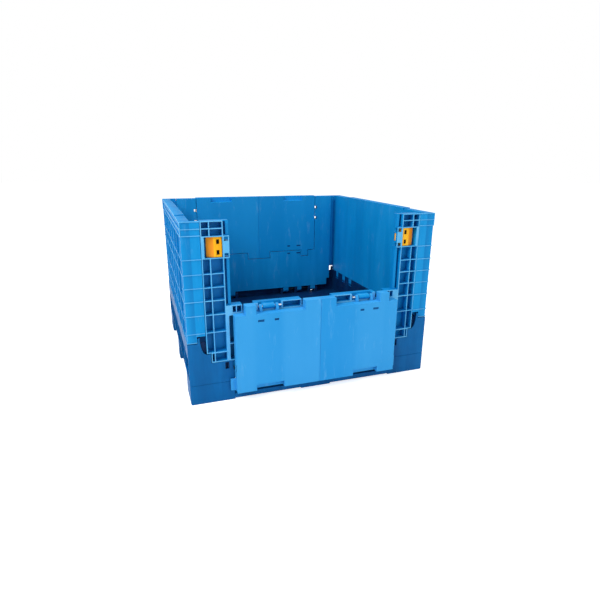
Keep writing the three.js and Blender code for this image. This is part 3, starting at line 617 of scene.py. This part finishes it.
class Workshop:
    """Shapes finished pieces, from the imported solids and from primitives.

    The three rooms are multiples of a rounding's width: how long an edge has to be to take it,
    how long the edges beside it, and how wide the faces at it.
    """

    weld_distance: float = 0.01 * MM
    merge_angle: float = math.radians(0.5)
    sharp_angle: float = math.radians(40)
    plane_angle: float = math.radians(2)
    plane_play: float = 0.2 * MM
    rounding_tries: int = 5
    rounding_segments: int = 2
    folded_area: float = 5e-6
    smooth_angle: float = math.radians(50)
    edge_room: float = 4.0
    side_room: float = 1.5
    width_room: float = 2.3

    @staticmethod
    def deselect() -> None:
        """Leave nothing selected."""
        if bpy.context.object and bpy.context.object.mode != "OBJECT":
            bpy.ops.object.mode_set(mode="OBJECT")
        bpy.ops.object.select_all(action="DESELECT")

    @classmethod
    def take_up(cls, piece: Piece) -> None:
        """Make a piece the only one selected, and active.

        Args:
            piece: The piece.
        """
        cls.deselect()
        piece.select_set(True)
        bpy.context.view_layer.objects.active = piece

    @classmethod
    def moulded_copy(cls, node: str, edge: Edge) -> Piece:
        """Copy a solid and round its edges, but not at faces that the rounding would fold over.

        Args:
            node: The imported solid's name.
            edge: How far its edges are rounded.

        Returns:
            The new piece, at the origin.
        """
        avoided: list[Plane] = []
        for _ in range(cls.rounding_tries):
            piece = cls.bare_copy(node)
            cls.round_edges(piece, edge, avoided)
            folded = cls.folded_planes(piece.data)
            if not folded:
                break
            avoided += folded
            bpy.data.objects.remove(piece)
        else:
            LOG.info("%s keeps its sharp edges", node)
            piece = cls.bare_copy(node)
        cls.smooth(piece)
        return piece

    @classmethod
    def bare_copy(cls, node: str) -> Piece:
        """Copy a solid with its points merged and no finish on it.

        Args:
            node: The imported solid's name.

        Returns:
            The new piece, taken up as the active object.
        """
        piece = bpy.data.objects.new(node + "_moulded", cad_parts[node].data.copy())
        bpy.context.scene.collection.objects.link(piece)
        piece.data.materials.clear()
        cls.take_up(piece)
        bpy.ops.object.mode_set(mode="EDIT")
        bpy.ops.mesh.select_all(action="SELECT")
        bpy.ops.mesh.remove_doubles(threshold=cls.weld_distance)
        bpy.ops.mesh.customdata_custom_splitnormals_clear()
        bpy.ops.object.mode_set(mode="OBJECT")
        return piece

    @classmethod
    def round_edges(cls, piece: Piece, edge: Edge, avoided: Sequence[Plane]) -> None:
        """Merge a piece's flat faces and round the edges that have room for it.

        Args:
            piece: The piece, which is the active object.
            edge: How far its edges are rounded.
            avoided: Planes whose faces keep their sharp edges.
        """
        bpy.ops.object.mode_set(mode="EDIT")
        bpy.ops.mesh.select_all(action="SELECT")
        bpy.ops.mesh.dissolve_limited(angle_limit=cls.merge_angle, use_dissolve_boundaries=False)
        bpy.ops.mesh.select_all(action="DESELECT")
        bpy.ops.mesh.select_mode(type="EDGE")
        bpy.ops.object.mode_set(mode="OBJECT")
        cls.select_roundable_edges(piece.data, edge, avoided)
        bpy.ops.object.mode_set(mode="EDIT")
        bpy.ops.mesh.bevel(
            offset=edge.value * MM, segments=cls.rounding_segments, clamp_overlap=False,
        )
        bpy.ops.object.mode_set(mode="OBJECT")

    @classmethod
    def folded_planes(cls, mesh: bpy.types.Mesh) -> list[Plane]:
        """Find the faces that a rounding has folded over.

        Args:
            mesh: The piece's mesh.

        Returns:
            The plane of each face in which a triangle lies upside down.
        """
        mesh.calc_loop_triangles()
        planes = []
        for triangle in mesh.loop_triangles:
            face = mesh.polygons[triangle.polygon_index]
            if triangle.area > cls.folded_area and triangle.normal.dot(face.normal) < 0:
                planes.append((face.normal.copy(), face.center.dot(face.normal)))
        return planes

    @classmethod
    def select_roundable_edges(cls, mesh: bpy.types.Mesh, rounding: Edge,
                               avoided: Sequence[Plane]) -> None:
        """Select the sharp edges with room for a rounding on both their faces.

        With SLIDING the inner corners stay sharp, so that a piece meets nothing on its way.

        Args:
            mesh: The piece's mesh.
            rounding: How far the edges are rounded.
            avoided: Planes whose faces keep their sharp edges.
        """
        faces_at: dict[tuple[int, int], list[bpy.types.MeshPolygon]] = {}
        for face in mesh.polygons:
            for key in face.edge_keys:
                faces_at.setdefault(key, []).append(face)
        for edge in mesh.edges:
            faces = faces_at.get(tuple(sorted(edge.vertices)), [])
            edge.select = (
                len(faces) == 2
                and faces[0].normal.angle(faces[1].normal, 0.0) > cls.sharp_angle
                and all(cls.has_room(mesh, face, edge, rounding.value * MM) for face in faces)
                and (rounding is not Edge.SLIDING or cls.juts_out(*faces))
                and not any(cls.lies_in(face, plane) for face in faces for plane in avoided)
            )

    @staticmethod
    def juts_out(first: bpy.types.MeshPolygon, second: bpy.types.MeshPolygon) -> bool:
        """Tell whether two faces meet at an outer edge and not in a corner.

        Args:
            first: One face.
            second: Its neighbour across the edge.

        Returns:
            True at an outer edge.
        """
        return (second.center - first.center).dot(first.normal) < 0

    @classmethod
    def lies_in(cls, face: bpy.types.MeshPolygon, plane: Plane) -> bool:
        """Tell whether a face lies in a plane.

        Args:
            face: The face.
            plane: The plane's normal, and its distance from the origin.

        Returns:
            True where both the direction and the place agree.
        """
        normal, distance = plane
        return (
            face.normal.dot(normal) > math.cos(cls.plane_angle)
            and abs(face.center.dot(normal) - distance) < cls.plane_play
        )

    @classmethod
    def has_room(cls, mesh: bpy.types.Mesh, face: bpy.types.MeshPolygon,
                 edge: bpy.types.MeshEdge, radius: float) -> bool:
        """Tell whether a face is wide enough beside an edge for its rounding.

        Args:
            mesh: The piece's mesh.
            face: One face at the edge.
            edge: The edge.
            radius: The rounding's width in metres.

        Returns:
            True where nothing else on the face lies too near.
        """
        ends = set(edge.vertices)
        start, end = (mesh.vertices[i].co for i in edge.vertices)
        along = (end - start).normalized()
        span = (end - start).length
        across = face.normal.cross(along)
        if span < cls.edge_room * radius:
            return False
        for key in face.edge_keys:
            if set(key) == ends:
                continue
            points = [mesh.vertices[i].co - start for i in key]
            if ends & set(key):
                if (points[1] - points[0]).length < cls.side_room * radius:
                    return False
                continue
            reach = sorted(point.dot(along) for point in points)
            if reach[1] < 0 or reach[0] > span:
                continue
            if min(abs(point.dot(across)) for point in points) < cls.width_room * radius:
                return False
        return True

    @classmethod
    def blocks(cls, name: str, boxes: Iterable[Box], edge: Edge) -> Piece:
        """Model small blocks with rounded edges as one piece.

        Args:
            name: The piece's name.
            boxes: The blocks' places.
            edge: How far their edges are rounded.

        Returns:
            The new piece, at the origin.
        """
        cls.deselect()
        bpy.ops.mesh.primitive_cube_add(size=1.0)
        piece = bpy.context.object
        piece.name = name
        bpy.ops.object.mode_set(mode="EDIT")
        bpy.ops.mesh.select_all(action="SELECT")
        bpy.ops.mesh.delete(type="VERT")
        for box in boxes:
            bpy.ops.mesh.select_all(action="DESELECT")
            bpy.ops.mesh.primitive_cube_add(size=1.0, location=box.centre)
            bpy.ops.transform.resize(value=box.size, center_override=box.centre)
        bpy.ops.mesh.select_all(action="SELECT")
        bpy.ops.mesh.bevel(offset=edge.value * MM, segments=cls.rounding_segments)
        bpy.ops.object.mode_set(mode="OBJECT")
        cls.smooth(piece)
        return piece

    @classmethod
    def smooth(cls, piece: Piece) -> None:
        """Shade the roundings smooth and keep the broad faces flat.

        Args:
            piece: The piece.
        """
        cls.take_up(piece)
        bpy.ops.object.shade_smooth_by_angle(angle=cls.smooth_angle)
        weights = piece.modifiers.new("flat faces", "WEIGHTED_NORMAL")
        weights.keep_sharp = True
        bpy.ops.object.modifier_apply(modifier=weights.name)
        cls.deselect()


@dataclass
class DressedPart:
    """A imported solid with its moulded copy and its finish."""

    node: str
    body: str
    slot: str
    edge: Edge

    def dress(self, material: bpy.types.Material) -> Piece:
        """Replace the solid by its moulded copy in this finish.

        Args:
            material: The piece's finish.

        Returns:
            The new piece.
        """
        piece = Workshop.moulded_copy(self.node, self.edge)
        piece.data.materials.append(material)
        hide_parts(self.node)
        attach(piece, self.body)
        LOG.info("dressed %s with %d faces", self.node, len(piece.data.polygons))
        return piece


@dataclass
class PalletBase:
    """The base and the feet and bars of its three skids."""

    rim_skin: float = 0.005
    finish: TrayPolyethylene = TrayPolyethylene(
        "base_polyethylene", "#00609F", "#0A70B4", "#00528C", roughness=0.45, scuff_share=0.12,
        scuff_colour="#3C9CD6",
    )

    def build(self) -> None:
        """Dress the base and every foot and bar of the skids."""
        _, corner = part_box("base")
        finish = replace(
            self.finish,
            tray_half_length=corner.x - WALL_THICKNESS + MM,
            tray_half_depth=corner.y - self.rim_skin + MM,
        )
        material = finish.make()
        nodes = [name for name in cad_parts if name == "base" or "skid_" in name]
        for node in nodes:
            DressedPart(node, "base", "base_plastic", Edge.BROAD).dress(material)


@dataclass
class StandingWalls:
    """The two side walls and the two wall frames."""

    finish: RibbedPolyethylene = RibbedPolyethylene(
        "wall_polyethylene", "#088ED2", "#1E9ADC", "#0484C8", roughness=0.42,
    )
    sides: tuple[str, ...] = ("left_side_wall", "right_side_wall")
    frames: dict[str, str] = field(default_factory=lambda: {
        "front_wall_frame": "front_wall", "rear_wall_frame": "rear_wall",
    })

    def build(self) -> None:
        """Dress the side walls and the wall frames."""
        _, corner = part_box("base")
        material = replace(self.finish, half_length=corner.x, half_depth=corner.y).make()
        for node in self.sides:
            DressedPart(node, "base", "wall_plastic", Edge.RIBBED).dress(material)
        for node, body in self.frames.items():
            DressedPart(node, body, "wall_plastic", Edge.SLIDING).dress(material)


@dataclass
class DropDoors:
    """The two drop-down doors, and the dark blocks of painted shadow in the slots beside their
    hinges.
    """

    finishes: dict[str, BandedPolyethylene] = field(default_factory=lambda: {
        # The doors are one plastic: the front door's paler copy and the rear door's darker copy are
        # painted light and shade.
        "front_door": BandedPolyethylene(
            "front_door_lit_polyethylene", "#2E98DC", "#3CA0E0", "#1C90D6", roughness=0.4,
            scuff_share=0.35, scuff_colour="#8CCBF0",
        ),
        "rear_door": BandedPolyethylene(
            "rear_door_shaded_polyethylene", "#088CD2", "#1292D6", "#0286CC", roughness=0.4,
            scuff_share=0.35, scuff_colour="#8CCBF0",
        ),
    })
    # Dark blue blocks in the slot recesses: painted shadow.
    slot_shadow_finish: MouldedPolyethylene = MouldedPolyethylene(
        "painted_slot_shadow", "#064C84", "#0A5892", "#043E6E", roughness=0.6, scuff_share=0.1,
        scuff_colour="#1E74B4",
    )
    shadow_insets: tuple[Span, ...] = ((0.309, 0.338), (0.386, 0.406))
    shadow_height: float = 0.010
    shadow_rise: float = 0.052
    shadow_depth: float = 0.0035
    shadow_sink: float = 0.0008
    shadow_play: float = 0.0003

    def build(self) -> None:
        """Dress both doors and fill the slots in the doors and sills with dark blocks of painted
        shadow.
        """
        _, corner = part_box("base")
        low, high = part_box("front_door")
        for node, finish in self.finishes.items():
            material = replace(finish, half_width=(high.x - low.x) / 2).make()
            DressedPart(node, node, "door_plastic", Edge.RIBBED).dress(material)

        pin_low, pin_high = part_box("front_door_pin_left")
        axis = (pin_low + pin_high) / 2
        inner = corner.y - WALL_THICKNESS
        open_face = 2 * axis.y + inner
        shadows = self.slot_shadow_finish.make()
        places = (
            ("front_door", open_face, 1, axis.z - self.shadow_rise),
            ("rear_door", inner, 1, axis.z + self.shadow_rise),
            ("front_wall", -inner, -1, axis.z),
            ("rear_wall", inner, 1, axis.z),
        )
        for body, face, inwards, height in places:
            self._shadows(body, face, inwards, height, corner.x, shadows)

    def _shadows(self, body: str, face: float, inwards: int, height: float, half_length: float,
              material: bpy.types.Material) -> None:
        """Model the four blocks of painted shadow in the slots of one inner face.

        Args:
            body: The body that carries them.
            face: The inner face's place along Y.
            inwards: The way into the plastic along Y.
            height: The pads' middle above the ground.
            half_length: Half the container's length.
            material: The finish of the painted shadow.
        """
        faces = sorted((face + inwards * self.shadow_sink, face + inwards * self.shadow_depth))
        rise = self.shadow_height / 2 - self.shadow_play
        boxes = []
        for side in (-1, 1):
            for inset in self.shadow_insets:
                left, right = sorted(side * (half_length - distance) for distance in inset)
                boxes.append(Box(
                    Vector((left + self.shadow_play, faces[0], height - rise)),
                    Vector((right - self.shadow_play, faces[1], height + rise)),
                ))
        piece = Workshop.blocks(body + "_slot_shadows", boxes, Edge.FINE)
        piece.data.materials.append(material)
        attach(piece, body)
        LOG.info("added the slot pads of %s", body)


@dataclass
class SlideLatches:
    """The four yellow latches, with painted shade on their slopes and dark blocks of painted shade
    in their two finger slots.
    """

    finish: MouldedPolyethylene = MouldedPolyethylene(
        "latch_nylon", "#F6B51C", "#FFC53A", "#EBA012", roughness=0.38,
        scuff_colour="#FFE6A0", scuff_share=0.3, streaks=Noise(60.0, 6.0, 0.62),
    )
    # Orange copy of the latch nylon on the slope faces: painted shade.
    slope_shade_finish: MouldedPolyethylene = MouldedPolyethylene(
        "latch_slope_shaded_nylon", "#EC8F1E", "#F4A236", "#DE7E14", roughness=0.42,
        scuff_colour="#FFD080", scuff_share=0.3, streaks=Noise(60.0, 6.0, 0.62),
    )
    # Near-black blocks in the finger slots: painted shade.
    slot_shade_finish: MouldedPolyethylene = MouldedPolyethylene(
        "slot_shade", "#150D06", "#1C1209", "#0E0804", roughness=0.7, scuff_share=0.05,
        scuff_colour="#3A2814",
    )
    nodes: tuple[str, ...] = (
        "front_latch_left", "front_latch_right", "rear_latch_left", "rear_latch_right",
    )
    slot_width: float = 0.0124
    slot_height: float = 0.0194
    slot_pitch: float = 0.046
    slot_inset: float = 0.017
    slot_recess: float = 0.005
    slot_floor: float = 0.0195
    body_length: float = 0.065
    slope_sideways: Span = (0.3, 0.7)
    slope_outwards: float = 0.7
    slope_upwards: float = 0.2

    def build(self) -> None:
        """Dress the latches, turn their slopes orange as painted shade and darken their slots with
        blocks of painted shade.
        """
        yellow = self.finish.make()
        orange = self.slope_shade_finish.make()
        dark = self.slot_shade_finish.make()
        for node in self.nodes:
            piece = DressedPart(node, node, "latch_plastic", Edge.SLIDING).dress(yellow)
            piece.data.materials.append(orange)
            # The slope faces take the orange copy: painted shade.
            for face in piece.data.polygons:
                face.material_index = int(self._is_slope(face.normal))
            self._slots(node, dark)

    def _is_slope(self, normal: Vector) -> bool:
        """Tell whether a face is the slope beside the grip.

        Args:
            normal: The face's direction.

        Returns:
            True for a slope.
        """
        sideways, outwards, upwards = (abs(part) for part in normal)
        least, most = self.slope_sideways
        return (
            least < sideways < most
            and outwards > self.slope_outwards
            and upwards < self.slope_upwards
        )

    def _slots(self, node: str, material: bpy.types.Material) -> None:
        """Fill the two finger slots with dark blocks of painted shade, a little below the grip's
        face.

        Args:
            node: The latch's node.
            material: The blocks' finish.
        """
        low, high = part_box(node)
        middle = (low + high) / 2
        side = 1 if middle.x > 0 else -1
        end = 1 if middle.y > 0 else -1
        outer_x = max(abs(low.x), abs(high.x))
        outer_y = max(abs(low.y), abs(high.y))
        across = side * (outer_x - self.body_length + self.slot_inset)
        depths = sorted((end * (outer_y - self.slot_recess), end * (outer_y - self.slot_floor)))
        boxes = [
            Box(
                Vector((across - self.slot_width / 2, depths[0], height - self.slot_height / 2)),
                Vector((across + self.slot_width / 2, depths[1], height + self.slot_height / 2)),
            )
            for height in (middle.z - self.slot_pitch / 2, middle.z + self.slot_pitch / 2)
        ]
        piece = Workshop.blocks(node + "_slot_shade", boxes, Edge.FINE)
        piece.data.materials.append(material)
        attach(piece, node)


@dataclass
class SteelPins:
    """The hinge rods and the door pins, which keep their solids."""

    finishes: dict[str, DrawnSteelRod] = field(default_factory=lambda: {
        "_pin_": DrawnSteelRod(),
        "_rod_": DrawnSteelRod("dulled_steel_rod", "#3C444C", roughness=0.5),
    })

    def build(self) -> None:
        """Give every rod and pin its steel."""
        for mark, finish in self.finishes.items():
            material = finish.make()
            for solid in [part for name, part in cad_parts.items() if mark in name]:
                solid.data.materials.clear()
                solid.data.materials.append(material)


@dataclass
class PhotoCamera:
    """The camera that saw the container, from its corner points."""

    place: tuple[float, float, float] = (-0.7574, -2.4704, 1.0854)
    yaw_degrees: float = 19.44
    pitch_degrees: float = 17.32
    roll_degrees: float = 0.461
    lens_mm: float = 27.284
    sensor_mm: float = 36.0

    def build(self) -> None:
        """Set the camera up as the scene's camera."""
        yaw, pitch, roll = (math.radians(a) for a in (
            self.yaw_degrees, self.pitch_degrees, self.roll_degrees,
        ))
        ahead = Vector((
            math.sin(yaw) * math.cos(pitch), math.cos(yaw) * math.cos(pitch), -math.sin(pitch),
        ))
        level = Vector((math.cos(yaw), -math.sin(yaw), 0.0))
        above = level.cross(ahead)
        right = level * math.cos(roll) + above * math.sin(roll)
        up = above * math.cos(roll) - level * math.sin(roll)
        data = bpy.data.cameras.new("photo_camera")
        data.lens = self.lens_mm
        data.sensor_width = self.sensor_mm
        camera = bpy.data.objects.new("photo_camera", data)
        bpy.context.scene.collection.objects.link(camera)
        turn = Matrix((right, up, -ahead)).transposed().to_4x4()
        camera.matrix_world = Matrix.Translation(Vector(self.place)) @ turn
        bpy.context.scene.camera = camera


@dataclass
class Lamp:
    """A soft rectangular lamp aimed at the container."""

    name: str
    place: tuple[float, float, float]
    size: float
    power: float
    target: tuple[float, float, float] = (0.0, 0.0, 0.4)

    def build(self) -> None:
        """Hang the lamp."""
        data = bpy.data.lights.new(self.name, "AREA")
        data.energy = self.power
        data.size = self.size
        lamp = bpy.data.objects.new(self.name, data)
        bpy.context.scene.collection.objects.link(lamp)
        lamp.location = self.place
        aim = Vector(self.target) - Vector(self.place)
        lamp.rotation_mode = "QUATERNION"
        lamp.rotation_quaternion = aim.to_track_quat("-Z", "Y")


@dataclass
class Studio:
    """A pale floor, an even pale world and soft lamps."""

    floor_size: float = 40.0
    floor_colour: str = "#F2F4F6"
    floor_glow: float = 0.66
    ambient: float = 0.52
    lamps: tuple[Lamp, ...] = (
        Lamp("key_lamp", (-3.2, -1.8, 3.4), 2.2, 125.0),
        Lamp("front_lamp", (1.2, -4.6, 2.2), 2.6, 42.0),
        Lamp("top_lamp", (0.4, 0.6, 4.2), 2.4, 66.0),
    )

    def build(self) -> None:
        """Set up the floor, the world and the lamps."""
        self._floor()
        self._world()
        for lamp in self.lamps:
            lamp.build()
        bpy.context.scene.view_settings.view_transform = "Standard"

    def _floor(self) -> None:
        """Lay the floor, which looks white to the camera but keeps the shadow."""
        Workshop.deselect()
        bpy.ops.mesh.primitive_plane_add(size=self.floor_size, location=(0.0, 0.0, 0.0))
        floor = bpy.context.object
        floor.name = "studio_floor"
        material, tree = start_material("pale_paper_floor")
        paper = add_node(tree, "BsdfDiffuse", {"Color": linear(self.floor_colour)})
        ray = add_node(tree, "LightPath")
        seen_straight = calculate(
            tree, "MAXIMUM", ray.outputs["Is Camera Ray"], ray.outputs["Is Glossy Ray"],
        )
        strength = calculate(tree, "MULTIPLY", seen_straight, self.floor_glow)
        glow = add_node(tree, "Emission", {"Color": grey(1.0)}, {"Strength": strength})
        seen = add_node(tree, "AddShader", links={0: paper.outputs[0], 1: glow.outputs[0]})
        add_node(tree, "OutputMaterial", links={"Surface": seen.outputs[0]})
        floor.data.materials.append(material)

    def _world(self) -> None:
        """Light the scene evenly, and show white behind it."""
        world = bpy.data.worlds.new("studio_world")
        world.use_nodes = True
        tree = world.node_tree
        tree.nodes.clear()
        ray = add_node(tree, "LightPath")
        seen_straight = calculate(
            tree, "MAXIMUM", ray.outputs["Is Camera Ray"], ray.outputs["Is Transmission Ray"],
        )
        strength = ranged(tree, seen_straight, (0.0, 1.0), (self.ambient, 1.0))
        background = add_node(tree, "Background", {"Color": grey(1.0)}, {"Strength": strength})
        add_node(tree, "OutputWorld", links={"Surface": background.outputs[0]})
        bpy.context.scene.world = world


def main() -> None:
    """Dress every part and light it."""
    logging.basicConfig(level=logging.INFO, format="%(message)s")
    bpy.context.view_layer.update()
    PhotoCamera().build()
    for assembly in (PalletBase(), StandingWalls(), DropDoors(), SlideLatches(), SteelPins()):
        assembly.build()
        LOG.info("built %s", type(assembly).__name__)
    Studio().build()
    bpy.context.view_layer.update()


if __name__ == "__main__":
    main()
